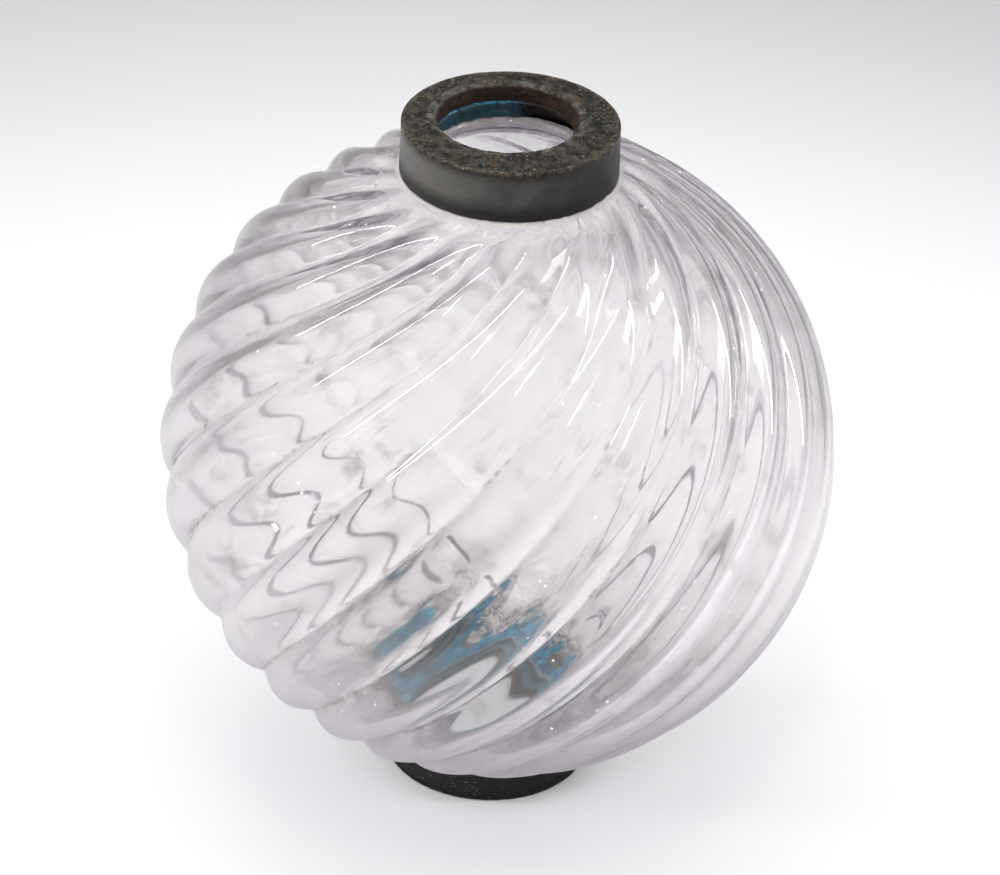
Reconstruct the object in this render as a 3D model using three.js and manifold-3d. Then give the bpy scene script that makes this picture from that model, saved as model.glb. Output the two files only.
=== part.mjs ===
// A glass ball for a lightning rod: a hollow, swirl-ribbed glass globe with a short neck at each pole,
// a dark cast metal cap over each neck, and a bead of blue sealing compound between neck and cap.
// Millimetres, +Z up along the rod's line. The origin is the middle of the bottom cap's underside,
// on which the ball stands.

import * as THREE from "three";
import { mergeVertices } from "three/addons/utils/BufferGeometryUtils.js";
import Module from "manifold-3d";

const wasm = await Module();
wasm.setup();

// Globe
const globeRadius = 60; // to the ribs' crests at the waist
const globeHalfHeight = 58.5; // from the centre to where the crests' curve would meet the axis
const glassWall = 4; // under a rib's crest
const ribCount = 20;
const ribDepth = 2; // from a crest down to the creases beside it
const ribLean = 0.849; // turn about the axis for each radian of latitude, at the waist
const ribCurl = 0.138; // extra turn, growing with the cube of the latitude
const firstCrease = THREE.MathUtils.degToRad(11.1); // where one crease crosses the waist
const smoothShoulder = 3.2; // plain glass outside each cap, before the ribs begin to rise
const ribRise = 12; // further out, over which the ribs come up to their full depth

// Necks, each with a mouth that opens out as a cone into the hollow
const mouthRadius = 13.8;
const neckWall = 2.8;
const neckRise = 1.72; // of the rim above the globe's shoulder
const mouthDepth = 1.4; // straight stretch inside the rim
const mouthFlare = 4.2; // by which the cone's foot is wider than the mouth

// Caps
const neckClearance = 0.4; // round the neck, inside the skirt
const capWall = 1.6;
const skirtFlare = 0.17; // by which the skirt's foot is wider than the face
const facePlate = 3.13; // thickness of the plate around the rod hole
const rodHoleRadius = 11.87;
const holeChamfer = 1;
const edgeRound = 0.8; // on the face's outer edge

// Sealing compound
const beadHeight = 3.33;
const beadSetback = 0.5; // of its bore behind the mouth's

const joinGap = 0.3; // between pieces that meet

// Fineness of the facets
const stepsAcrossRib = 6;
const stepsDownGlobe = 22;
const ringCrowding = 0.25; // share by which the rings draw together towards the necks
const stepsDownHollow = 12;
const stepsRoundHollow = 36;
const stepsRoundCap = 40;
const stepsRoundEdge = 2;

const neckRadius = mouthRadius + neckWall;
const skirtBore = neckRadius + neckClearance;
const capRadius = skirtBore + capWall;
const beadBore = mouthRadius + beadSetback;
const beadRadius = skirtBore - joinGap;
const neckLatitude = Math.acos(neckRadius / globeRadius);
const shoulderHeight = globeHalfHeight * Math.sin(neckLatitude);
const rimHeight = shoulderHeight + neckRise;
const faceHeight = rimHeight + joinGap + beadHeight + joinGap + facePlate;
const seatHeight = globeHalfHeight * Math.sqrt(1 - (skirtBore / globeRadius) ** 2) + joinGap;

const glass = new THREE.MeshStandardMaterial({
  name: "violet_glass",
  color: 0xdcd3df,
  roughness: 0.05,
  metalness: 0,
  transparent: true,
  opacity: 0.35,
});
const capMetal = new THREE.MeshStandardMaterial({
  name: "weathered_cap_metal",
  color: 0x3a3833,
  roughness: 0.55,
  metalness: 0.7,
});
const compound = new THREE.MeshStandardMaterial({
  name: "blue_compound",
  color: 0x2e6f8c,
  roughness: 0.6,
  metalness: 0,
});

// A body of revolution about Z from a closed outline of [radius, height] points.
function turned(outline, steps) {
  const points = [...outline, outline[0]].map(([radius, height]) => new THREE.Vector2(radius, height));
  return new THREE.LatheGeometry(points, steps).rotateX(Math.PI / 2);
}

function solidOf(geometry) {
  const bare = geometry.clone();
  bare.deleteAttribute("normal");
  bare.deleteAttribute("uv");
  const merged = mergeVertices(bare, 1e-3);
  return new wasm.Manifold(
    new wasm.Mesh({
      numProp: 3,
      vertProperties: merged.attributes.position.array,
      triVerts: new Uint32Array(merged.index.array),
    }),
  );
}

function geometryOf(solid) {
  const mesh = solid.getMesh();
  return new THREE.BufferGeometry()
    .setAttribute("position", new THREE.BufferAttribute(mesh.vertProperties, 3))
    .setIndex(new THREE.BufferAttribute(mesh.triVerts, 1));
}

// Turn of the ribs about the axis at a latitude.
function ribTurn(latitude) {
  return firstCrease + ribLean * latitude + ribCurl * latitude ** 3;
}

// How far the glass lies below the crests: nothing on a crest and in the plain shoulder, ribDepth in a crease.
// across runs from 0 to 1 over one rib, crease to crease.
function reliefBelowCrest(across, latitude) {
  const start = capRadius + smoothShoulder;
  const radius = globeRadius * Math.cos(latitude);
  const strength = THREE.MathUtils.smoothstep(radius, start, start + ribRise);
  return ribDepth * strength * (2 * across - 1) ** 2;
}

// The outside of the glass as one closed surface, its columns of facets following the ribs.
function mouldedOutside() {
  const columns = ribCount * stepsAcrossRib;
  const positions = [];
  const faces = [];
  const addRing = (latitude, pointAt) => {
    for (let column = 0; column < columns; column += 1) {
      const across = (column % stepsAcrossRib) / stepsAcrossRib;
      const turn = ribTurn(latitude) + (column / columns) * 2 * Math.PI;
      const [radius, height] = pointAt(across);
      positions.push(radius * Math.cos(turn), radius * Math.sin(turn), height);
    }
  };
  addRing(neckLatitude, () => [neckRadius, rimHeight]);
  for (let step = 0; step <= stepsDownGlobe; step += 1) {
    const rise = 1 - (2 * step) / stepsDownGlobe;
    const latitude = neckLatitude * rise * (1 + ringCrowding * (1 - rise ** 2));
    addRing(latitude, (across) => {
      const share = 1 - reliefBelowCrest(across, latitude) / globeRadius;
      return [globeRadius * share * Math.cos(latitude), globeHalfHeight * share * Math.sin(latitude)];
    });
  }
  addRing(-neckLatitude, () => [neckRadius, -rimHeight]);

  const rings = positions.length / 3 / columns;
  for (let ring = 0; ring < rings - 1; ring += 1) {
    for (let column = 0; column < columns; column += 1) {
      const a = ring * columns + column;
      const b = ring * columns + ((column + 1) % columns);
      faces.push(a, a + columns, b + columns, a, b + columns, b);
    }
  }
  const topMiddle = positions.length / 3;
  const bottomMiddle = topMiddle + 1;
  positions.push(0, 0, rimHeight, 0, 0, -rimHeight);
  const lastRing = (rings - 1) * columns;
  for (let column = 0; column < columns; column += 1) {
    const next = (column + 1) % columns;
    faces.push(topMiddle, column, next);
    faces.push(bottomMiddle, lastRing + next, lastRing + column);
  }
  return new THREE.BufferGeometry()
    .setAttribute("position", new THREE.Float32BufferAttribute(positions, 3))
    .setIndex(faces);
}

// The hollow with both mouths, reaching past each rim so that it cuts them open.
function hollow() {
  const radius = globeRadius - glassWall;
  const halfHeight = globeHalfHeight - glassWall;
  const endLatitude = Math.acos((mouthRadius + mouthFlare) / radius);
  const coneTop = rimHeight - mouthDepth;
  const pastRim = rimHeight + neckRise;
  const outline = [
    [0, -pastRim],
    [mouthRadius, -pastRim],
    [mouthRadius, -coneTop],
  ];
  for (let step = 0; step <= stepsDownHollow; step += 1) {
    const latitude = endLatitude * ((2 * step) / stepsDownHollow - 1);
    outline.push([radius * Math.cos(latitude), halfHeight * Math.sin(latitude)]);
  }
  outline.push([mouthRadius, coneTop], [mouthRadius, pastRim], [0, pastRim]);
  return turned(outline, stepsRoundHollow);
}

function globe() {
  return geometryOf(solidOf(mouldedOutside()).subtract(solidOf(hollow())));
}

// A cap with its face at height 0 and its skirt hanging below.
function cap() {
  const skirtHeight = faceHeight - seatHeight;
  const footRadius = capRadius + skirtFlare;
  const outline = [
    [rodHoleRadius, -facePlate],
    [skirtBore, -facePlate],
    [skirtBore, -skirtHeight],
    [footRadius, -skirtHeight],
  ];
  for (let step = 0; step <= stepsRoundEdge; step += 1) {
    const angle = (step / stepsRoundEdge) * (Math.PI / 2);
    outline.push([
      capRadius - edgeRound * (1 - Math.cos(angle)),
      -edgeRound * (1 - Math.sin(angle)),
    ]);
  }
  outline.push([rodHoleRadius + holeChamfer, 0], [rodHoleRadius, -holeChamfer]);
  return turned(outline, stepsRoundCap);
}

// The bead of compound, under a cap's plate and on the glass rim.
function bead() {
  const top = -facePlate - joinGap;
  return turned(
    [
      [beadBore, top - beadHeight],
      [beadRadius, top - beadHeight],
      [beadRadius, top],
      [beadBore, top],
    ],
    stepsRoundCap,
  );
}

function named(name, geometry, material) {
  const mesh = new THREE.Mesh(geometry, material);
  mesh.name = name;
  return mesh;
}

// One end's fittings, in a group whose own origin is the middle of the cap's face.
function endFittings(end) {
  const group = new THREE.Group();
  group.add(named(`${end}_cap`, cap(), capMetal));
  group.add(named(`${end}_sealing_bead`, bead(), compound));
  return group;
}

const ball = new THREE.Group();
ball.name = "lightning_rod_ball";

const glassGlobe = named("glass_globe", globe(), glass);
glassGlobe.position.z = faceHeight;
ball.add(glassGlobe);

const top = endFittings("top");
top.position.z = 2 * faceHeight;
ball.add(top);

const bottom = endFittings("bottom");
bottom.rotation.x = Math.PI;
ball.add(bottom);

export default ball;
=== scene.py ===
"""A swirl-ribbed glass ball for a lightning rod, standing on its lower cap on a pale floor.

The glass globe, its two weathered caps and the blue compound that seals them are all turned about Z.
Each gets a cross-section drawn here from the frame's own sizes, and a Geometry Nodes tree sweeps the
section round the axis and gives the surface its ribs, waves, pits and smears. All lengths are metres.
"""

import math

import bpy
from mathutils import Matrix, Quaternion, Vector


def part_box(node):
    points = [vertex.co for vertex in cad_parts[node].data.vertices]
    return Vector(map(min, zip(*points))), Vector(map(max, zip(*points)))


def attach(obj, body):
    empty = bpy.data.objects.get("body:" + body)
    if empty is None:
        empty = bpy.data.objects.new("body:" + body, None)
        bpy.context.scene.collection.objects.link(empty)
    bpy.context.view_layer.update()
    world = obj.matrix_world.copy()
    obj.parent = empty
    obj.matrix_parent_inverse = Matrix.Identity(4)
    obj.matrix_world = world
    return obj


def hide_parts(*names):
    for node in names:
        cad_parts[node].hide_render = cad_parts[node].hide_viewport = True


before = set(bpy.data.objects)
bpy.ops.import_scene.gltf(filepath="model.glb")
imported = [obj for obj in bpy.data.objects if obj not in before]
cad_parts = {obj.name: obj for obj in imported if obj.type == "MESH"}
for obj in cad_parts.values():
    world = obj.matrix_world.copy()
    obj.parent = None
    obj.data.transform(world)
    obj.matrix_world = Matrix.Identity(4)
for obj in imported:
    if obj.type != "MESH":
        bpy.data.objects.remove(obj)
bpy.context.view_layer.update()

MM = 0.001

# Sizes read from the frame
globe_low, globe_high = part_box("glass_globe")
cap_low, cap_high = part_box("top_cap")
centre_height = (globe_low.z + globe_high.z) / 2
globe_radius = (globe_high.x - globe_low.x) / 2
rim_height = globe_high.z - centre_height
face_height = cap_high.z - centre_height
skirt_depth = cap_high.z - cap_low.z

# The globe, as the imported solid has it
GLOBE_HALF_HEIGHT = 58.5 * MM
RIB_COUNT = 20
RIB_DEPTH = 2 * MM
RIB_LEAN = 0.849
RIB_CURL = 0.138
FIRST_CREASE = math.radians(11.1)
MOUTH_RADIUS = 13.8 * MM
NECK_WALL = 2.8 * MM
MOUTH_DEPTH = 1.4 * MM
MOUTH_FLARE = 4.2 * MM
SMOOTH_SHOULDER = 3.2 * MM
RIB_RISE = 12 * MM
NECK_RADIUS = MOUTH_RADIUS + NECK_WALL
NECK_RISE = 1.72 * MM

# The wall as it is drawn: thinner than the solid's, so that less light is caught in the ribs
THINNED_WALL = 2.9 * MM

# The caps and the compound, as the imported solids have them
NECK_CLEARANCE = 0.4 * MM
CAP_WALL = 1.6 * MM
SKIRT_FLARE = 0.17 * MM
FACE_PLATE = 3.13 * MM
ROD_HOLE_RADIUS = 11.87 * MM
SKIRT_BORE = NECK_RADIUS + NECK_CLEARANCE
CAP_RADIUS = SKIRT_BORE + CAP_WALL

# The photograph's frame and the camera that it was taken with, found from the ball's outline and creases
FRAME_WIDTH_PX = 1000
FRAME_HEIGHT_PX = 875
FOCAL_LENGTH_PX = 4144
BALL_CENTRE_PX = (498.1, 445.0)
CAMERA_DISTANCE = 736.7 * MM
CAMERA_ELEVATION = math.radians(32.29)
CAMERA_ROLL = math.radians(-2.3)
SENSOR_WIDTH_MM = 36


class Number:
    """A socket that carries a number. Sums of numbers add the Math nodes that they need."""

    def __init__(self, tree, socket):
        self.tree = tree
        self.socket = socket

    def __add__(self, other):
        return self.tree.math("ADD", self, other)

    def __radd__(self, other):
        return self.tree.math("ADD", other, self)

    def __sub__(self, other):
        return self.tree.math("SUBTRACT", self, other)

    def __rsub__(self, other):
        return self.tree.math("SUBTRACT", other, self)

    def __mul__(self, other):
        return self.tree.math("MULTIPLY", self, other)

    def __rmul__(self, other):
        return self.tree.math("MULTIPLY", other, self)

    def __truediv__(self, other):
        return self.tree.math("DIVIDE", self, other)

    def __rtruediv__(self, other):
        return self.tree.math("DIVIDE", other, self)

    def __pow__(self, other):
        return self.tree.math("POWER", self, other)


class Tree:
    """A node tree that is written as plain calls and sums."""

    def __init__(self, node_tree):
        self.node_tree = node_tree

    def node(self, kind, settings=None, inputs=None):
        """A new node. Its settings are set first, and then its sockets, by name or place."""
        made = self.node_tree.nodes.new(kind)
        for name, value in (settings or {}).items():
            setattr(made, name, value)
        for key, value in (inputs or {}).items():
            self.feed(made.inputs[key], value)
        return made

    def feed(self, socket, value):
        if isinstance(value, Number):
            value = value.socket
        if isinstance(value, bpy.types.NodeSocket):
            self.node_tree.links.new(value, socket)
        else:
            socket.default_value = value

    def number(self, kind, settings=None, inputs=None, output=0):
        return Number(self, self.node(kind, settings, inputs).outputs[output])

    def math(self, operation, *values):
        return self.number("ShaderNodeMath", {"operation": operation}, dict(enumerate(values)))

    def vector(self, operation, *values):
        """A Vector Math node's result, as a socket."""
        made = self.node("ShaderNodeVectorMath", {"operation": operation}, dict(enumerate(values)))
        return made.outputs[0]

    def noise(self, place, size, seed, detail=2.0, roughness=0.5, distortion=0.0):
        """Noise between 0 and 1 whose lumps are about size across. Each seed reads another part of it."""
        apart = self.node("ShaderNodeCombineXYZ", None, dict.fromkeys("XYZ", seed)).outputs["Vector"]
        return self.number(
            "ShaderNodeTexNoise",
            {"noise_dimensions": "3D"},
            {"Vector": self.vector("ADD", place, apart), "Scale": 1 / size, "Detail": detail,
             "Roughness": roughness, "Distortion": distortion},
        )

    def mix(self, factor, first, second):
        """One colour for factor 0 and another for 1, as a socket. Each may be a colour or a socket."""
        colours = [c if isinstance(c, bpy.types.NodeSocket) else (*c, 1.0) for c in (first, second)]
        return self.node(
            "ShaderNodeMix", {"data_type": "RGBA"}, {0: factor, 6: colours[0], 7: colours[1]}
        ).outputs[2]

    def ramp(self, value, low, high, to_low=0.0, to_high=1.0, smooth=True):
        """value between low and high taken to to_low and to_high, and held outside them."""
        return self.number(
            "ShaderNodeMapRange",
            {"interpolation_type": "SMOOTHSTEP" if smooth else "LINEAR"},
            {"Value": value, "From Min": low, "From Max": high, "To Min": to_low, "To Max": to_high},
        )

    def attribute(self, name):
        """A number that the sweep kept on the surface."""
        return self.number("ShaderNodeAttribute", {"attribute_name": name}, output="Fac")

    def principled(self, **sockets):
        """A Principled shader. Each socket is named as the node names it, with _ for a space."""
        inputs = {name.replace("_", " "): value for name, value in sockets.items()}
        return self.node("ShaderNodeBsdfPrincipled", None, inputs)

    def covered(self, cover, under, over):
        """The shader under, and the shader over on the share of it that cover gives."""
        return self.node("ShaderNodeMixShader", None, {0: cover, 1: under.outputs[0], 2: over.outputs[0]})

    def surface(self, shader):
        """The material's output, with this shader on its surface."""
        return self.node("ShaderNodeOutputMaterial", None, {"Surface": shader.outputs[0]})


# Cross-sections: each is a closed list of points, and each point has its radius, its height above the
# ball's centre and what the sweep needs to know about it.


def arc(middle, radius, start, end, steps):
    """Points along part of a circle, its angles in degrees."""
    return [
        (
            middle[0] + radius * math.cos(math.radians(start + (end - start) * step / steps)),
            middle[1] + radius * math.sin(math.radians(start + (end - start) * step / steps)),
        )
        for step in range(steps + 1)
    ]


def curve(start, control, end, steps):
    """Points along a quadratic curve, without its first."""
    points = []
    for step in range(1, steps + 1):
        t = step / steps
        points.append(tuple(
            (1 - t) ** 2 * a + 2 * t * (1 - t) * b + t ** 2 * c for a, b, c in zip(start, control, end)
        ))
    return points


def smoothstep(value, low, high):
    t = min(max((value - low) / (high - low), 0), 1)
    return t * t * (3 - 2 * t)


def spaced(outline, step):
    """The closed outline with more points, at most step apart."""
    points = []
    for a, b in zip(outline, outline[1:] + outline[:1]):
        parts = max(1, math.ceil(math.dist(a, b) / step))
        points += [
            (a[0] + (b[0] - a[0]) * i / parts, a[1] + (b[1] - a[1]) * i / parts) for i in range(parts)
        ]
    return points


def section_object(name, points, **columns):
    """The section as a mesh of loose points in the XZ plane, with one number attribute for each column."""
    mesh = bpy.data.meshes.new(name)
    mesh.from_pydata([(radius, 0, height) for radius, height in points], [], [])
    for column, values in columns.items():
        mesh.attributes.new(column, "FLOAT", "POINT").data.foreach_set("value", values)
    made = bpy.data.objects.new(name, mesh)
    bpy.context.scene.collection.objects.link(made)
    return made


RINGS_DOWN_GLOBE = 96
RINGS_DOWN_HOLLOW = 40
RIM_ROUNDING = 1.1 * MM
SHOULDER_FILLET = 0.9 * MM


def globe_section():
    """Points up the outside of the glass, over the top rim, down the hollow and round the bottom rim.

    With each go its latitude, which sets its turn about the axis, how deep the ribs are there,
    outside and inside, and whether it faces the hollow.
    """
    start = CAP_RADIUS + SMOOTH_SHOULDER
    neck_latitude = math.acos((NECK_RADIUS + SHOULDER_FILLET) / globe_radius)
    points, latitudes, outside, inside, within = [], [], [], [], []

    def add(point, latitude, relief=0.0, ripple=0.0, hollow=0.0):
        points.append(point)
        latitudes.append(latitude)
        outside.append(relief)
        inside.append(ripple)
        within.append(hollow)

    for step in range(RINGS_DOWN_GLOBE + 1):
        rise = 2 * step / RINGS_DOWN_GLOBE - 1
        latitude = neck_latitude * rise * (1.15 - 0.15 * rise ** 2)
        radius = globe_radius * math.cos(latitude)
        relief = smoothstep(radius, start, start + RIB_RISE)
        add((radius, GLOBE_HALF_HEIGHT * math.sin(latitude)), latitude, relief=relief)

    hollow_radius = globe_radius - THINNED_WALL
    hollow_half_height = GLOBE_HALF_HEIGHT - THINNED_WALL
    end_latitude = math.acos((MOUTH_RADIUS + MOUTH_FLARE) / hollow_radius)
    hollow_end = (MOUTH_RADIUS + MOUTH_FLARE, hollow_half_height * math.sin(end_latitude))
    shoulder = points[-1]
    corner = (NECK_RADIUS, shoulder[1] + SHOULDER_FILLET * 0.3)
    neck = curve(shoulder, corner, (NECK_RADIUS, shoulder[1] + SHOULDER_FILLET), 3)
    outer_points = len(neck)
    neck += arc((NECK_RADIUS - RIM_ROUNDING, rim_height - RIM_ROUNDING), RIM_ROUNDING, 0, 90, 4)
    neck += arc((MOUTH_RADIUS + RIM_ROUNDING, rim_height - RIM_ROUNDING), RIM_ROUNDING, 90, 180, 4)
    cone_top = (MOUTH_RADIUS, rim_height - MOUTH_DEPTH)
    bend = (MOUTH_RADIUS + MOUTH_FLARE * 0.2, hollow_end[1] + (cone_top[1] - hollow_end[1]) * 0.55)
    neck += curve(cone_top, bend, hollow_end, 7)[:-1]
    hollow_flags = [float(place > outer_points and height < rim_height - MOUTH_DEPTH)
                    for place, (radius, height) in enumerate(neck)]
    for (radius, height), flag in zip(neck, hollow_flags):
        add((radius, height), neck_latitude, hollow=flag)

    for step in range(RINGS_DOWN_HOLLOW + 1):
        latitude = end_latitude * (1 - 2 * step / RINGS_DOWN_HOLLOW)
        radius = hollow_radius * math.cos(latitude)
        ripple = smoothstep(radius, MOUTH_RADIUS + MOUTH_FLARE, start + RIB_RISE)
        add((radius, hollow_half_height * math.sin(latitude)), latitude, ripple=ripple, hollow=1.0)
    for (radius, height), flag in zip(reversed(neck), reversed(hollow_flags)):
        add((radius, -height), -neck_latitude, hollow=flag)
    return section_object(
        "globe_section", points, latitude=latitudes, outside=outside, inside=inside, within=within
    )


# Sweeping a section round the axis


def sweep_tree(name, section, sizes, shape):
    """A Geometry Nodes tree that sweeps the section's points round Z, and the inputs' identifiers.

    sizes names the tree's own number inputs. shape gets the tree, its inputs and a function that
    reads the section. It returns each point's radius, turn and height, and the numbers that the
    material reads from the finished surface.
    """
    group = bpy.data.node_groups.new(name, "GeometryNodeTree")
    group.interface.new_socket("Geometry", in_out="INPUT", socket_type="NodeSocketGeometry")
    group.interface.new_socket("Geometry", in_out="OUTPUT", socket_type="NodeSocketGeometry")
    keys = {}
    for label in sizes:
        kind = "NodeSocketInt" if isinstance(sizes[label], int) else "NodeSocketFloat"
        keys[label] = group.interface.new_socket(label, in_out="INPUT", socket_type=kind).identifier
    keys["Finish"] = group.interface.new_socket(
        "Finish", in_out="INPUT", socket_type="NodeSocketMaterial"
    ).identifier

    tree = Tree(group)
    entry = tree.node("NodeGroupInput")
    inputs = {label: Number(tree, entry.outputs[label]) for label in sizes}
    section_points = len(section.data.vertices)
    index = tree.number("GeometryNodeInputIndex")
    rows = section_points + 1
    row = tree.math("MODULO", tree.math("MODULO", index, rows), section_points)
    column = tree.math("FLOOR", index / rows)

    def read(attribute):
        field = tree.node("GeometryNodeInputNamedAttribute", {"data_type": "FLOAT"}, {"Name": attribute})
        return tree.number(
            "GeometryNodeSampleIndex",
            {"data_type": "FLOAT", "domain": "POINT"},
            {"Geometry": entry.outputs["Geometry"], "Value": field.outputs["Attribute"], "Index": row},
        )

    place = tree.node(
        "GeometryNodeSampleIndex",
        {"data_type": "FLOAT_VECTOR", "domain": "POINT"},
        {"Geometry": entry.outputs["Geometry"], "Value": tree.node("GeometryNodeInputPosition").outputs[0],
         "Index": row},
    )
    across = tree.node("ShaderNodeSeparateXYZ", None, {"Vector": place.outputs["Value"]})
    radius, height = Number(tree, across.outputs["X"]), Number(tree, across.outputs["Z"])
    steps_round = inputs["Steps Round"]
    grid = tree.node("GeometryNodeMeshGrid", None, {"Vertices X": steps_round + 1, "Vertices Y": rows})
    radius, turn, height, kept = shape(tree, inputs, read, radius, height, column, steps_round)
    point = tree.node(
        "ShaderNodeCombineXYZ", None,
        {"X": radius * tree.math("COSINE", turn), "Y": radius * tree.math("SINE", turn), "Z": height},
    )
    placed = tree.node(
        "GeometryNodeSetPosition", None,
        {"Geometry": grid.outputs["Mesh"], "Position": point.outputs["Vector"]},
    )
    for attribute, value in kept.items():
        placed = tree.node(
            "GeometryNodeStoreNamedAttribute", {"data_type": "FLOAT", "domain": "POINT"},
            {"Geometry": placed.outputs["Geometry"], "Name": attribute, "Value": value},
        )
    closed = tree.node(
        "GeometryNodeMergeByDistance", None, {"Geometry": placed.outputs["Geometry"], "Distance": 1e-6}
    )
    smooth = tree.node(
        "GeometryNodeSetShadeSmooth", None, {"Geometry": closed.outputs["Geometry"], "Shade Smooth": True}
    )
    real = tree.node("GeometryNodeRealizeInstances", None, {"Geometry": smooth.outputs["Geometry"]})
    finished = tree.node(
        "GeometryNodeSetMaterial", None,
        {"Geometry": real.outputs["Geometry"], "Material": entry.outputs["Finish"]},
    )
    tree.node("NodeGroupOutput", None, {"Geometry": finished.outputs["Geometry"]})
    return group, keys


def swept(name, section, sizes, shape, material):
    """The finished piece: the section swept by a tree of its own and turned into a plain mesh."""
    group, keys = sweep_tree(name + "_sweep", section, sizes, shape)
    modifier = section.modifiers.new("Sweep", "NODES")
    modifier.node_group = group
    for label, value in sizes.items():
        modifier[keys[label]] = value
    modifier[keys["Finish"]] = material
    depsgraph = bpy.context.evaluated_depsgraph_get()
    mesh = bpy.data.meshes.new_from_object(section.evaluated_get(depsgraph))
    mesh.name = name
    section.modifiers.remove(modifier)
    bpy.data.objects.remove(section)
    mesh.transform(Matrix.Translation((0, 0, centre_height)))
    piece = bpy.data.objects.new(name, mesh)
    bpy.context.scene.collection.objects.link(piece)
    return piece


def cylinder_place(tree, radius, turn, height):
    """Where a swept point is before it is moved, for noise to read."""
    return tree.node(
        "ShaderNodeCombineXYZ", None,
        {"X": radius * tree.math("COSINE", turn), "Y": radius * tree.math("SINE", turn), "Z": height},
    ).outputs["Vector"]


def globe_shape(tree, inputs, read, radius, height, column, steps_round):
    """Ribs that lean and curl round the globe, crisp in the creases outside and soft inside the hollow."""
    latitude = read("latitude")
    ribs = column / steps_round * inputs["Rib Count"]
    share = tree.math("FRACT", ribs)
    rib = tree.math("FLOOR", ribs)
    # Columns draw together towards the creases, so that these stay crisp.
    from_middle = 2 * share - 1
    crowded = from_middle * (1.45 - 0.45 * from_middle * from_middle)
    turn = (
        inputs["First Crease"]
        + inputs["Rib Lean"] * latitude
        + inputs["Rib Curl"] * latitude ** 3
        + (rib + (crowded + 1) / 2) * (2 * math.pi) / inputs["Rib Count"]
    )
    squared = crowded * crowded
    rounding = 2 / (inputs["Crease Sharpness"] - 2)
    profile = squared * (1 + rounding) - squared ** (inputs["Crease Sharpness"] / 2) * rounding
    relief = inputs["Rib Depth"] * read("outside") * profile
    ripple = inputs["Ripple Depth"] * read("inside") * tree.math("COSINE", crowded * math.pi)
    place = cylinder_place(tree, radius, turn, height)
    calm = tree.ramp(tree.noise(place, 45 * MM, inputs["Seed"] + 3, detail=0.0), 0.38, 0.62, 0.35, 1.6)
    waves = tree.noise(place, 16 * MM, inputs["Seed"], detail=0.0) - 0.5
    lumps = tree.noise(place, 7 * MM, inputs["Seed"] + 7, detail=0.0) - 0.5
    inner = inputs["Hollow Waves"] * read("inside") * (waves * 2 + lumps * calm)
    outer = inputs["Outside Waves"] * read("outside") * (waves * 2 + 0.35)
    scale = 1 + (ripple + inner - relief - outer) / globe_radius
    kept = {"crease": profile * read("outside"), "hollow": read("within")}
    return radius * scale, turn, height * scale, kept


def make_globe(material):
    sizes = {
        "Steps Round": 560,
        "Rib Count": RIB_COUNT,
        "Rib Depth": RIB_DEPTH,
        "Crease Sharpness": 20.0,
        "Rib Lean": RIB_LEAN,
        "Rib Curl": RIB_CURL,
        "First Crease": FIRST_CREASE,
        "Ripple Depth": 0.85 * MM,
        "Hollow Waves": 0.12 * MM,
        "Outside Waves": 0.05 * MM,
        "Seed": 3,
    }
    globe = swept("clear_ribbed_globe", globe_section(), sizes, globe_shape, material)
    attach(globe, "root")
    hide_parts("glass_globe")
    return globe


CAP_EDGE_ROUNDING = 0.4 * MM
CAP_PROUD = 0.1 * MM
FOOT_GAP = 0.12 * MM
FOOT_ROUNDING = 0.2 * MM
FACE_DISHING = 0.18 * MM
LIP_WIDTH = 1.7 * MM
HOLE_BEVEL = 0.7 * MM
HOLE_COLLAR = 0.9 * MM
COLLAR_WALL = 0.4 * MM
FACE_RIM = 1.3 * MM
LIP_SLOPE = 0.6 * MM
CHIPPED_HEIGHT = 1.8 * MM
CAP_POINT_SPACING = 0.3 * MM


def flipped(points, end):
    """The section as it is for the top end, and turned over but going the same way for the bottom."""
    return points if end > 0 else [(radius, -height) for radius, height in reversed(points)]


def shoulder_height(radius):
    """Height of the plain glass beside a cap at this distance from the axis."""
    return GLOBE_HALF_HEIGHT * math.sqrt(1 - (radius / globe_radius) ** 2)


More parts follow.
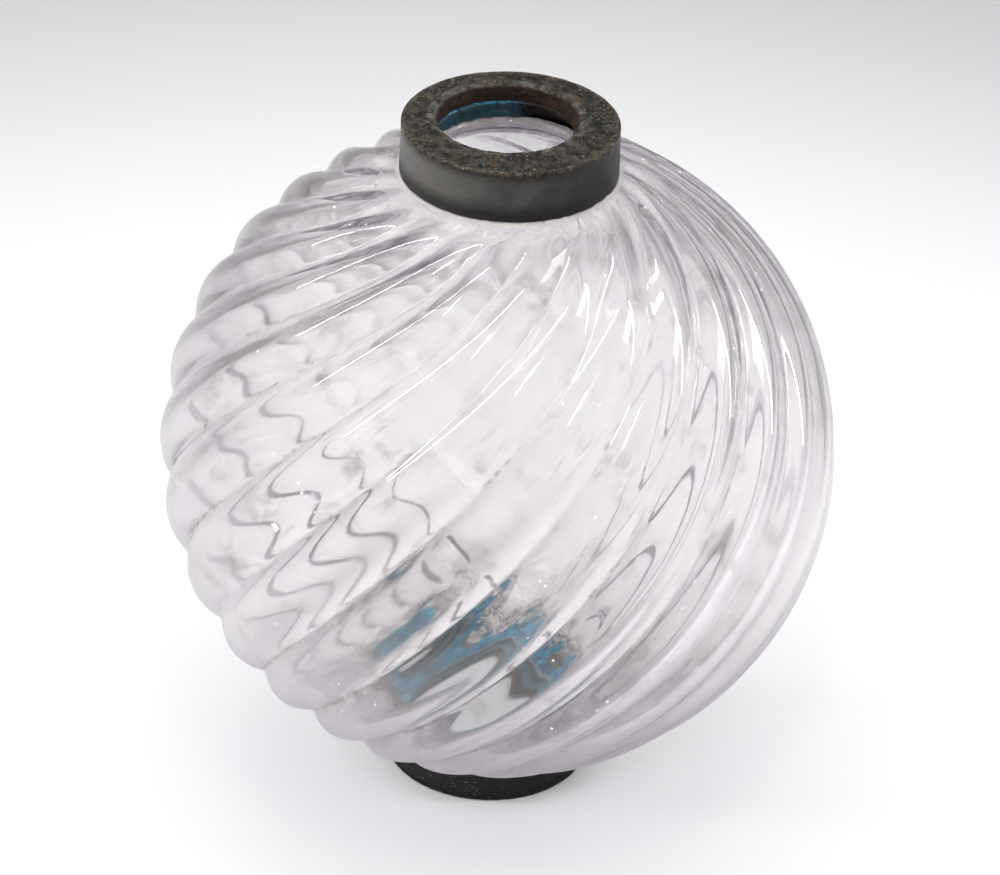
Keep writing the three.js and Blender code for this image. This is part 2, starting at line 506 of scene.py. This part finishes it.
def cap_section(end):
    """Points up the skirt, over its rounded edge and dished face, down the rod hole and under the plate.

    The wall of the hole goes on below the plate as a thin collar. With each point go its share of the
    face and of the side, how chipped it is and how pitted.
    """
    plate = face_height - FACE_PLATE
    dish = face_height - FACE_DISHING
    lip = ROD_HOLE_RADIUS + LIP_WIDTH
    outer = CAP_RADIUS + CAP_PROUD
    foot = shoulder_height(outer + SKIRT_FLARE) + FOOT_GAP
    inner_foot = shoulder_height(SKIRT_BORE) + FOOT_GAP
    edge_middle = (outer - CAP_EDGE_ROUNDING, face_height - CAP_EDGE_ROUNDING)
    outline = [(outer + SKIRT_FLARE - FOOT_ROUNDING, foot), (outer + SKIRT_FLARE, foot + FOOT_ROUNDING)]
    outline += arc(edge_middle, CAP_EDGE_ROUNDING, 0, 90, 5)
    outline += [(outer - FACE_RIM, dish), (lip + LIP_SLOPE, dish), (lip, face_height - 0.04 * MM)]
    outline += curve(
        (lip, face_height), (ROD_HOLE_RADIUS + 0.35 * MM, face_height - 0.1 * MM),
        (ROD_HOLE_RADIUS, face_height - HOLE_BEVEL), 4,
    )
    outline += [
        (ROD_HOLE_RADIUS, plate - HOLE_COLLAR),
        (ROD_HOLE_RADIUS + COLLAR_WALL, plate - HOLE_COLLAR),
        (ROD_HOLE_RADIUS + COLLAR_WALL, plate),
        (SKIRT_BORE, plate),
        (SKIRT_BORE, inner_foot),
    ]
    points = spaced(outline, CAP_POINT_SPACING)
    face = [smoothstep(height, dish - 0.9 * MM, dish - 0.1 * MM) for radius, height in points]
    side = [
        smoothstep(radius, outer - 0.5 * MM, outer) * (1 - smoothstep(height, dish - 0.9 * MM, dish))
        for radius, height in points
    ]
    ragged = [1 - smoothstep(height, foot, foot + CHIPPED_HEIGHT) for radius, height in points]
    pitted = [1 - 0.75 * smoothstep(radius, outer - 1.2 * MM, outer) for radius, height in points]
    if end < 0:
        face, side, ragged, pitted = face[::-1], side[::-1], ragged[::-1], pitted[::-1]
    return section_object(
        "cap_section", flipped(points, end), face=face, side=side, ragged=ragged, pitted=pitted
    )


def cap_shape(tree, inputs, read, radius, height, column, steps_round):
    """A pitted, gritty face, a side that waves, a chipped foot and a hole that may be off centre."""
    turn = column / steps_round * (2 * math.pi)
    place = cylinder_place(tree, radius, turn, height)
    pits = tree.ramp(tree.noise(place, 2.2 * MM, inputs["Seed"], detail=3.0, roughness=0.6), 0.42, 0.68)
    grit = tree.noise(place, 0.9 * MM, inputs["Seed"] + 5, detail=2.0)
    waves = tree.noise(place, 9 * MM, inputs["Seed"] + 9, detail=1.0)
    bites = tree.noise(place, 5.5 * MM, inputs["Seed"] + 2, detail=2.0, roughness=0.65)
    chips = tree.ramp(bites, 0.6, 0.72)
    face, side = read("face"), read("side")
    sunk = inputs["Pit Depth"] * face * (pits * 0.7 + grit * 0.35) * read("pitted")
    rise = inputs["Chip Depth"] * read("ragged") * (chips + grit * 0.12)
    pulled_in = inputs["Side Waves"] * side * (waves + grit * 0.2)
    height = height - inputs["End"] * (sunk - rise)
    near_hole = tree.ramp(radius, CAP_RADIUS - 1.2 * MM, ROD_HOLE_RADIUS + LIP_WIDTH)
    nudge = inputs["Hole Off Centre"] * near_hole * tree.math("COSINE", turn - inputs["Hole Towards"])
    return radius - pulled_in + nudge, turn, height, {"face": face, "from_hole": radius}


def make_cap(name, node, end, seed, material):
    sizes = {
        "Steps Round": 390,
        "End": float(end),
        "Pit Depth": 0.26 * MM,
        "Chip Depth": 0.5 * MM,
        "Side Waves": 0.08 * MM,
        "Hole Off Centre": 1.8 * MM if end > 0 else 0.0,
        "Hole Towards": math.radians(108),
        "Seed": seed,
    }
    cap = swept(name, cap_section(end), sizes, cap_shape, material)
    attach(cap, "root")
    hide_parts(node)
    return cap


COMPOUND_GAP = 0.05 * MM
FILM_THICKNESS = 0.24 * MM
COMPOUND_POINT_SPACING = 0.25 * MM


def compound_section(end):
    """Points round the compound: a film between neck and skirt, over the glass rim and onto the plate."""
    plate = face_height - FACE_PLATE - 0.06 * MM
    film_end = face_height - skirt_depth + 1.4 * MM
    outer = SKIRT_BORE - COMPOUND_GAP
    inner = outer - FILM_THICKNESS
    bore = MOUTH_RADIUS + 0.3 * MM
    over_rim = rim_height + 0.08 * MM
    outline = [
        (outer, film_end),
        (outer, plate),
        (ROD_HOLE_RADIUS + 0.9 * MM, plate),
        (ROD_HOLE_RADIUS + 1.1 * MM, plate - 0.5 * MM),
        (bore - 0.5 * MM, plate - 1.1 * MM),
        (bore + 0.4 * MM, (plate + over_rim) / 2 - 0.2 * MM),
        (bore + 0.2 * MM, over_rim + 0.2 * MM),
        (bore + 0.7 * MM, over_rim),
        (inner, over_rim),
        (inner, film_end),
    ]
    points = spaced(outline, COMPOUND_POINT_SPACING)
    free = [
        (1 - smoothstep(radius, bore + 0.4 * MM, bore + 1.2 * MM)) * smoothstep(plate - height, 0, 0.6 * MM)
        for radius, height in points
    ]
    if end < 0:
        free = free[::-1]
    return section_object("compound_section", flipped(points, end), free=free)


def compound_shape(tree, inputs, read, radius, height, column, steps_round):
    """Strands and lumps round the bore, drawn back to a thin crust where the compound has gone."""
    turn = column / steps_round * (2 * math.pi)
    place = cylinder_place(tree, radius, turn, height)
    strands = tree.noise(place, 3.2 * MM, inputs["Seed"], detail=3.0, roughness=0.6, distortion=0.6) - 0.5
    lumps = tree.noise(place, 1.1 * MM, inputs["Seed"] + 4, detail=2.0) - 0.5
    across = tree.math("COSINE", turn - inputs["Thickest At"])
    left = tree.ramp(across + strands * 0.5, inputs["Gone Below"] - 0.12, inputs["Gone Below"] + 0.12)
    free = read("free")
    drawn_back = free * (1 - left) * inputs["Drawn Back"]
    radius = radius + drawn_back - free * left * inputs["Lump Height"] * (strands * 2.2 + lumps)
    return radius, turn, height, {"left": left}


# Compound is left where the cosine of the turn from its thickest place is above these.
TOP_GONE_BELOW = 0.3
BOTTOM_GONE_BELOW = -1.6


def make_compound(name, node, end, gone_below, seed, material):
    sizes = {
        "Steps Round": 300,
        "Thickest At": math.radians(152),
        "Gone Below": gone_below,
        "Drawn Back": 1.9 * MM,
        "Lump Height": 0.7 * MM,
        "Seed": seed,
    }
    ring = swept(name, compound_section(end), sizes, compound_shape, material)
    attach(ring, "root")
    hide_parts(node)
    return ring


# Materials


def material(name):
    made = bpy.data.materials.new(name)
    made.use_nodes = True
    made.node_tree.nodes.clear()
    return made, Tree(made.node_tree)


CLEAR_GLASS = {"Base_Color": (0.965, 0.955, 0.958, 1), "IOR": 1.51, "Transmission_Weight": 1.0}
GLASS_TINT = (0.867, 0.835, 0.868, 1)
TINT_PER_METRE = 98.0
# What is left of light that goes straight through one surface
STRAIGHT_LIGHT_LEFT = (0.95, 0.948, 0.952, 1)
# After the first of these bounces the glass is plain, and after the second light goes straight on.
PLAIN_AFTER = 2.5
STRAIGHT_AFTER = 5.5
# Dirt always leaves some glass to be seen.
MOST_COVER = 0.9
SEED_SPACING = 3 * MM
MILKY_PATCH = (0.0, 46 * MM, centre_height - 35 * MM)


def violet_glass():
    """Old clear glass, gone faintly violet, with a film of dirt inside and crusts in its creases."""
    made, tree = material("violet_glass")
    place = tree.node("ShaderNodeTexCoord").outputs["Object"]
    at = tree.node("ShaderNodeSeparateXYZ", None, {"Vector": place})
    x, y = Number(tree, at.outputs["X"]), Number(tree, at.outputs["Y"])
    height = Number(tree, at.outputs["Z"]) - centre_height
    depth = tree.math("ABSOLUTE", height)
    above_rim = height + rim_height
    from_axis = tree.math("SQRT", x * x + y * y)
    crease, hollow = tree.attribute("crease"), tree.attribute("hollow")
    broad = tree.noise(place, 26 * MM, 5, detail=1.0)
    speckle = tree.noise(place, 1.4 * MM, 21, detail=2.0, roughness=0.7)
    grain = tree.noise(place, 0.6 * MM, 23, detail=1.0, roughness=0.7)
    clouds = tree.ramp(broad, 0.4, 0.7)
    brown = tree.mix(tree.ramp(speckle, 0.35, 0.65), (0.4, 0.33, 0.27), (0.16, 0.11, 0.075))
    grey_dust_and_shade = (0.36, 0.33, 0.36)

    # Dust under the caps, inside and out
    near_neck = tree.ramp(depth, rim_height - 10 * MM, rim_height - 2.5 * MM)
    dust = near_neck * tree.ramp(grain, 0.5, 0.66) * (clouds * 0.4 + 0.08)

    # A grey veil on the outside, below and to the left, that shows most where the glass is seen edge on:
    # partly dust, partly painted shade that darkens the lower ribs and the outlines
    below = tree.ramp(height, 4 * MM, -48 * MM) * 0.46
    left_dust_and_shade = tree.ramp(x, -26 * MM, -54 * MM) * 0.26
    edge_on_dust_and_shade = tree.number("ShaderNodeLayerWeight", None, {"Blend": 0.5}, output="Facing")
    dust_and_painted_shade = tree.math("MAXIMUM", below, left_dust_and_shade) + edge_on_dust_and_shade ** 4 * 0.4

    # Grit that stays in the creases
    patchy = tree.ramp(tree.noise(place, 14 * MM, 31, detail=0.0), 0.52, 0.62)
    in_crease = tree.ramp(crease, 0.93, 0.99) * patchy * tree.ramp(speckle, 0.42, 0.6) * 0.35

    # Compound and chalk on the ground rims, and painted shade, near black, on the neck where the caps cover
    # it
    on_rim = tree.ramp(depth, rim_height - 1.1 * MM, rim_height - 0.7 * MM) * tree.ramp(
        from_axis, MOUTH_RADIUS - 0.2 * MM, MOUTH_RADIUS + 0.3 * MM
    )
    chalk = on_rim * tree.ramp(height, -1 * MM, 1 * MM, 0.35, 0.8) * tree.ramp(speckle, 0.35, 0.5, 0.6, 1.0)
    neck_foot = rim_height - NECK_RISE
    painted_shade_in_caps = tree.ramp(depth, neck_foot - 0.45 * MM, neck_foot - 0.25 * MM) * tree.ramp(
        from_axis, NECK_RADIUS - 1.2 * MM, NECK_RADIUS - 0.6 * MM
    ) * (1 - on_rim)

    # A pale line where the caps end: partly sealing dust, partly a painted highlight along the joint
    cap_foot_dust_and_highlight = tree.ramp(from_axis, CAP_RADIUS + 1.3 * MM, CAP_RADIUS + 0.6 * MM) * tree.ramp(
        from_axis, CAP_RADIUS - 0.6 * MM, CAP_RADIUS
    ) * tree.ramp(speckle, 0.35, 0.55, 0.35, 0.8)

    # Clusters of seeds just under the surface, drawn as painted glints: white dots that glow
    cell = tree.number(
        "ShaderNodeTexVoronoi", None, {"Vector": place, "Scale": 1 / SEED_SPACING}, output="Distance"
    )
    clusters = tree.ramp(tree.noise(place, 20 * MM, 57, detail=0.0), 0.5, 0.56)
    painted_seed_glints = tree.ramp(cell, 0.1, 0.06) * clusters

    # The outside: fire-polished glass under all of these
    polished = tree.principled(**CLEAR_GLASS, Roughness=0.0, Coat_Weight=0.8, Coat_Roughness=0.03)
    colour = tree.mix(tree.math("MINIMUM", (in_crease + dust) * 4, 1.0), grey_dust_and_shade, brown)
    colour = tree.mix(tree.math("MAXIMUM", on_rim, cap_foot_dust_and_highlight), colour, (0.72, 0.7, 0.63))
    colour = tree.mix(painted_shade_in_caps, colour, (0.03, 0.02, 0.035))
    cover = tree.math("MINIMUM", dust_and_painted_shade + in_crease + dust, MOST_COVER)
    for part in (chalk, painted_shade_in_caps * 0.97, cap_foot_dust_and_highlight, painted_seed_glints):
        cover = tree.math("MAXIMUM", cover, part)
    # The seeds' painted glints glow white through the crust's emission.
    painted_glint_colour = tree.mix(painted_seed_glints, (0.0, 0.0, 0.0), (0.9, 0.9, 0.9))
    crust = tree.principled(Base_Color=colour, Roughness=0.7, Emission_Strength=1.0, Emission_Color=painted_glint_colour)
    outside = tree.covered(cover, polished, crust)

    # In the hollow: a milky patch on the far wall, low down behind the middle
    from_patch = tree.number(
        "ShaderNodeVectorMath", {"operation": "DISTANCE"}, {0: place, 1: MILKY_PATCH}, output="Value"
    )
    milky = tree.ramp(from_patch, 34 * MM, 12 * MM)

    # A thin film all over it, thicker in blotches and towards the bottom, and a haze low on the near wall
    # that is partly painted shade on the bottom of the ball
    spots = tree.noise(place, 7 * MM, 11, detail=2.0, roughness=0.6)
    blotches = tree.ramp(spots, 0.53, 0.68) * tree.ramp(height, -42 * MM, -32 * MM)
    dirty = tree.ramp(broad, 0.56, 0.44)
    low = tree.ramp(height, 0.0, -rim_height) * 0.02
    film = clouds * 0.02 + 0.01 + low + blotches * (dirty * 0.7 + 0.3) * speckle * 0.5
    low_haze_and_shade = tree.ramp(y, 12 * MM, -12 * MM) * tree.ramp(height, -28 * MM, -44 * MM) * 0.4

    # Round the lower mouth: compound smeared up the wall, dark grit above it and a smudge beyond
    edge = tree.noise(place, 6 * MM, 41, detail=2.0, roughness=0.65) - 0.5
    streaks = tree.noise(place, 3 * MM, 43, detail=2.0, roughness=0.65, distortion=1.2)
    smeared = tree.ramp(above_rim + edge * 10 * MM, 5.2 * MM, 4.2 * MM)
    gritty = tree.ramp(above_rim + edge * 11 * MM, 9 * MM, 5.5 * MM) * tree.ramp(grain, 0.34, 0.56)
    smudge = tree.ramp(above_rim + edge * 30 * MM, 18 * MM, 6 * MM) * 0.08

    # The hollow: duller glass under its film and grit, and the smear over all
    dulled = tree.principled(**CLEAR_GLASS, Roughness=clouds * 0.05 + 0.05 + milky * 0.12)
    dark = tree.mix(tree.ramp(grain, 0.4, 0.62), (0.1, 0.085, 0.07), (0.018, 0.015, 0.012))
    colour = tree.mix(tree.math("MINIMUM", low_haze_and_shade * 3, 1.0), brown, grey_dust_and_shade)
    colour = tree.mix(gritty, colour, dark)
    cover = tree.math("MINIMUM", film + low_haze_and_shade + dust + smudge, MOST_COVER)
    cover = tree.math("MAXIMUM", cover, gritty * 0.9)
    soiled = tree.covered(cover, dulled, tree.principled(Base_Color=colour, Roughness=0.7))
    teal = tree.mix(tree.ramp(streaks, 0.36, 0.54), (0.006, 0.07, 0.13), (0.03, 0.27, 0.42))
    teal = tree.mix(tree.ramp(streaks, 0.56, 0.68), teal, (0.16, 0.6, 0.75))
    teal = tree.mix(tree.ramp(streaks, 0.36, 0.26), teal, (0.03, 0.027, 0.025))
    within = tree.covered(smeared * 0.97, soiled, tree.principled(Base_Color=teal, Roughness=0.7))
    body = tree.covered(hollow, outside, within)

    # After a few surfaces only the glass's own clearness counts, and at last the light goes straight on.
    # Light from the lamps also goes straight through.
    rays = tree.node("ShaderNodeLightPath")
    bounces = Number(tree, rays.outputs["Ray Depth"])
    plain = tree.principled(**CLEAR_GLASS, Roughness=0.0)
    nearer = tree.covered(tree.math("GREATER_THAN", bounces, PLAIN_AFTER), body, plain)
    straight = tree.node("ShaderNodeBsdfTransparent", None, {"Color": STRAIGHT_LIGHT_LEFT})
    at_last = tree.math("GREATER_THAN", bounces, STRAIGHT_AFTER)
    goes_on = tree.math("MAXIMUM", rays.outputs["Is Shadow Ray"], at_last)
    output = tree.surface(tree.covered(goes_on, nearer, straight))
    tint = tree.node("ShaderNodeVolumeAbsorption", None, {"Color": GLASS_TINT, "Density": TINT_PER_METRE})
    tree.feed(output.inputs["Volume"], tint.outputs[0])
    return made


def weathered_metal():
    """Dark metal: satin at the side, with painted light on its left and painted shade on its right,
    gritty with golden-brown stains and pale specks, partly painted glints, on the face.
    """
    made, tree = material("weathered_cap_metal")
    place = tree.node("ShaderNodeTexCoord").outputs["Object"]
    at = tree.node("ShaderNodeSeparateXYZ", None, {"Vector": place})
    x, y, z = (Number(tree, at.outputs[axis]) for axis in "XYZ")
    from_axis = tree.math("SQRT", x * x + y * y)
    face, from_hole = tree.attribute("face"), tree.attribute("from_hole")
    outwards = tree.math("ABSOLUTE", z - centre_height)
    below_face = face_height - outwards
    in_hole = tree.ramp(from_hole, ROD_HOLE_RADIUS + 0.5 * MM, ROD_HOLE_RADIUS + 0.1 * MM)
    lower_cap = tree.ramp(z, centre_height, centre_height - 1 * MM)

    clouds = tree.noise(place, 5 * MM, 2, detail=3.0, roughness=0.6)
    scale = tree.ramp(tree.noise(place, 1.8 * MM, 4, detail=4.0, roughness=0.75, distortion=0.5), 0.4, 0.62)
    stains = tree.ramp(tree.noise(place, 3 * MM, 8, detail=4.0, roughness=0.75, distortion=0.8), 0.53, 0.68)
    grit = tree.noise(place, 0.5 * MM, 14, detail=3.0, roughness=0.7)
    specks_and_glints = tree.ramp(grit, 0.625, 0.69)
    worn_edge = tree.ramp(from_axis, CAP_RADIUS - 1.2 * MM, CAP_RADIUS - 0.4 * MM) * tree.ramp(
        below_face, 0.9 * MM, 0.3 * MM
    )
    lip = tree.ramp(from_hole, ROD_HOLE_RADIUS + 2.3 * MM, ROD_HOLE_RADIUS + 1.5 * MM) * face
    bright_lip = lip * tree.ramp(tree.noise(place, 2.2 * MM, 18, detail=4.0, roughness=0.7), 0.42, 0.66)

    side = tree.mix(tree.ramp(clouds, 0.36, 0.64), (0.055, 0.053, 0.049), (0.1, 0.095, 0.088))
    # Painted light and shade on the side: lighter on the left, near black on the right.
    painted_side_light = tree.ramp(x, 4 * MM, -CAP_RADIUS) - tree.ramp(x, 4 * MM, CAP_RADIUS) * 0.5
    side = tree.mix(tree.math("MAXIMUM", painted_side_light, 0.0) * 0.7, side, (0.19, 0.182, 0.168))
    side = tree.mix(tree.math("MAXIMUM", painted_side_light * -2.0, 0.0), side, (0.007, 0.0065, 0.006))
    # Painted shade at the foot of the side and just under the face, so that the side is lightest at
    # mid-height.
    foot = tree.ramp(below_face, skirt_depth - 3.4 * MM, skirt_depth - 0.4 * MM)
    painted_shade_top = tree.ramp(below_face, 2.6 * MM, 0.8 * MM)
    side = tree.mix(tree.math("MAXIMUM", foot * 0.85, painted_shade_top * 0.6), side, (0.016, 0.015, 0.013))
    top = tree.mix(scale, (0.009, 0.0085, 0.007), (0.07, 0.064, 0.052))
    top = tree.mix(stains * 0.7, top, (0.15, 0.095, 0.042))
    top = tree.mix(bright_lip * 0.7, top, (0.22, 0.21, 0.185))
    colour = tree.mix(face, side, top)
    colour = tree.mix(in_hole, colour, tree.mix(scale, (0.016, 0.008, 0.005), (0.06, 0.026, 0.016)))
    colour = tree.mix(worn_edge * tree.ramp(grit, 0.45, 0.6) * 0.6, colour, (0.2, 0.17, 0.12))
    # Pale specks, on the face partly pale grit and partly painted glints.
    colour = tree.mix(specks_and_glints * (face * 0.85 + 0.06), colour, (0.45, 0.41, 0.32))
    # The lower cap is near black: partly its own darker tone, partly painted shade under the globe.
    colour = tree.mix(lower_cap * 0.9, colour, (0.004, 0.004, 0.004))
    colour = tree.mix(lower_cap * specks_and_glints * 0.7, colour, (0.3, 0.28, 0.26))
    roughness = tree.ramp(clouds, 0.3, 0.7, 0.36, 0.5) + face * 0.12 - specks_and_glints * face * 0.3
    bumps = tree.node("ShaderNodeBump", None, {
        "Height": grit * (face * 1.8 + 0.1) + scale * (face + in_hole * 0.6) * 1.1 + clouds * 0.3,
        "Distance": 0.2 * MM, "Strength": 1.0,
    })
    roughness = roughness + (lower_cap + in_hole) * 0.25
    tree.surface(tree.principled(
        Base_Color=colour, Metallic=(1 - in_hole) * 0.35, Specular_IOR_Level=0.35, Roughness=roughness,
        Normal=bumps.outputs["Normal"],
    ))
    return made


def blue_compound():
    """Teal sealing compound in pale and dark strands, black with grit where it has gone."""
    made, tree = material("blue_compound")
    place = tree.node("ShaderNodeTexCoord").outputs["Object"]
    left = tree.attribute("left")
    strands = tree.noise(place, 2.6 * MM, 6, detail=3.0, roughness=0.6, distortion=1.6)
    grit = tree.noise(place, 0.8 * MM, 16, detail=3.0, roughness=0.7)
    colour = tree.mix(tree.ramp(strands, 0.35, 0.6), (0.008, 0.045, 0.075), (0.03, 0.155, 0.24))
    colour = tree.mix(tree.ramp(strands, 0.58, 0.7), colour, (0.13, 0.36, 0.45))
    colour = tree.mix(tree.ramp(grit, 0.56, 0.64) * 0.9, colour, (0.03, 0.024, 0.018))
    colour = tree.mix(left, (0.02, 0.018, 0.015), colour)
    bumps = tree.node("ShaderNodeBump", None, {
        "Height": strands + grit * 0.4, "Distance": 0.3 * MM, "Strength": 0.8,
    })
    tree.surface(tree.principled(Base_Color=colour, Roughness=0.5, Normal=bumps.outputs["Normal"]))
    return made


# Stage, lights and camera


PAPER_PALE = (0.925, 0.935, 0.94)
PAPER_SHADED = (0.5, 0.507, 0.515)


def make_floor():
    """A sheet of pale paper, flat under the ball and curving up well behind it.

    Its colour darkens away from the ball, to the sides and to the front: painted shade in place of the
    lamps' falloff, which also gives the ribs their grey reflections.
    """
    half_width, front = 1.6, -1.6
    bend_start, bend_radius, wall_height = 1.4, 0.3, 0.4
    line = [(front, 0.0)] + [
        (bend_start + y, bend_radius + z) for y, z in arc((0, 0), bend_radius, -90, 0, 32)
    ] + [(bend_start + bend_radius, wall_height)]
    vertices = [(x, y, z) for y, z in line for x in (-half_width, half_width)]
    faces = [(2 * i, 2 * i + 1, 2 * i + 3, 2 * i + 2) for i in range(len(line) - 1)]
    mesh = bpy.data.meshes.new("paper_sweep")
    mesh.from_pydata(vertices, [], faces)
    mesh.shade_smooth()
    floor = bpy.data.objects.new("paper_sweep", mesh)
    bpy.context.scene.collection.objects.link(floor)
    made, tree = material("floor_paper")
    place = tree.node("ShaderNodeTexCoord").outputs["Object"]
    away = tree.number("ShaderNodeVectorMath", {"operation": "LENGTH"}, {0: place}, output="Value")
    at = tree.node("ShaderNodeSeparateXYZ", None, {"Vector": place})
    to_side = tree.ramp(tree.math("ABSOLUTE", Number(tree, at.outputs["X"])), 0.125, 0.4)
    to_front = tree.ramp(Number(tree, at.outputs["Y"]), -0.055, -0.35)
    # Painted shade: the paper darkens away from the ball, to the sides and to the front.
    painted_falloff = tree.math("MAXIMUM", tree.ramp(away, 0.12, 0.42), tree.math("MAXIMUM", to_side, to_front))
    paper = tree.mix(painted_falloff, PAPER_PALE, PAPER_SHADED)
    tree.surface(tree.principled(Base_Color=paper, Roughness=0.8, Specular_IOR_Level=0.2))
    mesh.materials.append(made)


def make_light(name, place, size, watts, turn=0, on_surfaces=True, through_glass=True):
    """A rectangular light at place, facing the ball and turned by so many degrees about the line to it.

    on_surfaces and through_glass say whether it shows as a reflection and through the glass.
    """
    light = bpy.data.lights.new(name, "AREA")
    light.shape = "RECTANGLE"
    light.size, light.size_y = size
    light.energy = watts
    made = bpy.data.objects.new(name, light)
    bpy.context.scene.collection.objects.link(made)
    made.location = place
    towards = Vector((0, 0, centre_height)) - Vector(place)
    made.rotation_mode = "QUATERNION"
    made.rotation_quaternion = towards.to_track_quat("-Z", "Y") @ Quaternion((0, 0, 1), math.radians(turn))
    made.visible_glossy = on_surfaces
    made.visible_transmission = through_glass


ROOM_COLOUR = (1, 0.975, 0.99, 1)


def make_lights():
    """Two thin tubes, a window and a lamp that show in what is glossy, and two for what is matt alone.

    The room round them is dimmer overhead than near the floor.
    """
    make_light("tube_left", (-0.35, 0.0, 0.65), (0.014, 0.8), 1.5)
    make_light("tube_right", (0.45, 0.03, 0.37), (0.014, 0.55), 0.55, through_glass=False)
    make_light("window_right", (0.4, -0.03, 0.49), (0.12, 0.2), 0.25, turn=15, through_glass=False)
    make_light("lamp_in_front", (0.0, -0.33, 0.67), (0.02, 0.14), 0.5, through_glass=False)
    make_light("soft_above", (0.0, 0.1, 1.2), (0.9, 0.9), 6.4, on_surfaces=False, through_glass=False)
    make_light("panel_left", (-0.75, -0.35, 0.2), (0.3, 0.3), 2.4, on_surfaces=False, through_glass=False)
    world = bpy.data.worlds.new("room")
    bpy.context.scene.world = world
    world.use_nodes = True
    world.node_tree.nodes.clear()
    tree = Tree(world.node_tree)
    way = tree.node("ShaderNodeTexCoord").outputs["Generated"]
    rise = tree.number("ShaderNodeSeparateXYZ", None, {"Vector": way}, output="Z")
    strength = tree.ramp(rise, 0.38, 0.68, 0.67, 0.33)
    room = tree.node("ShaderNodeBackground", None, {"Color": ROOM_COLOUR, "Strength": strength})
    tree.node("ShaderNodeOutputWorld", None, {"Surface": room.outputs[0]})


def make_camera():
    """The camera that puts the ball's centre on its own pixel of the photograph's frame."""
    centre = Vector((0, 0, centre_height))
    back = Vector((0, -math.cos(CAMERA_ELEVATION), math.sin(CAMERA_ELEVATION)))
    place = centre + back * CAMERA_DISTANCE
    level_right = Vector((1, 0, 0))
    level_up = back.cross(level_right)
    right = level_right * math.cos(CAMERA_ROLL) - level_up * math.sin(CAMERA_ROLL)
    up = level_right * math.sin(CAMERA_ROLL) + level_up * math.cos(CAMERA_ROLL)
    metres_per_px = CAMERA_DISTANCE / FOCAL_LENGTH_PX
    aim = (
        centre
        + right * (FRAME_WIDTH_PX / 2 - BALL_CENTRE_PX[0]) * metres_per_px
        + up * (BALL_CENTRE_PX[1] - FRAME_HEIGHT_PX / 2) * metres_per_px
    )
    back = (place - aim).normalized()
    right = up.cross(back).normalized()
    up = back.cross(right)
    data = bpy.data.cameras.new("camera")
    data.sensor_width = SENSOR_WIDTH_MM
    data.lens = FOCAL_LENGTH_PX / FRAME_WIDTH_PX * SENSOR_WIDTH_MM
    data.clip_start, data.clip_end = 0.01, 50
    camera = bpy.data.objects.new("camera", data)
    bpy.context.scene.collection.objects.link(camera)
    camera.matrix_world = Matrix((
        (right.x, up.x, back.x, place.x),
        (right.y, up.y, back.y, place.y),
        (right.z, up.z, back.z, place.z),
        (0, 0, 0, 1),
    ))
    bpy.context.scene.camera = camera


MOST_BOUNCES = 20


def set_light_paths():
    """Enough bounces for light to find its way through the ribs, and what is needed to keep them clean."""
    scene = bpy.context.scene
    scene.view_settings.view_transform = "Standard"
    scene.cycles.max_bounces = MOST_BOUNCES
    scene.cycles.transmission_bounces = MOST_BOUNCES
    scene.cycles.glossy_bounces = MOST_BOUNCES
    scene.cycles.diffuse_bounces = 1
    scene.cycles.transparent_max_bounces = 24
    scene.cycles.light_sampling_threshold = 0.05
    scene.cycles.caustics_refractive = False
    scene.cycles.caustics_reflective = False
    scene.cycles.use_denoising = True
    scene.cycles.denoising_input_passes = "RGB"


make_camera()
set_light_paths()
glass = violet_glass()
metal = weathered_metal()
compound = blue_compound()
make_globe(glass)
make_cap("top_cap_casting", "top_cap", 1, 4, metal)
make_cap("bottom_cap_casting", "bottom_cap", -1, 9, metal)
make_compound("top_compound_ring", "top_sealing_bead", 1, TOP_GONE_BELOW, 5, compound)
make_compound("bottom_compound_ring", "bottom_sealing_bead", -1, BOTTOM_GONE_BELOW, 12, compound)
make_floor()
make_lights()
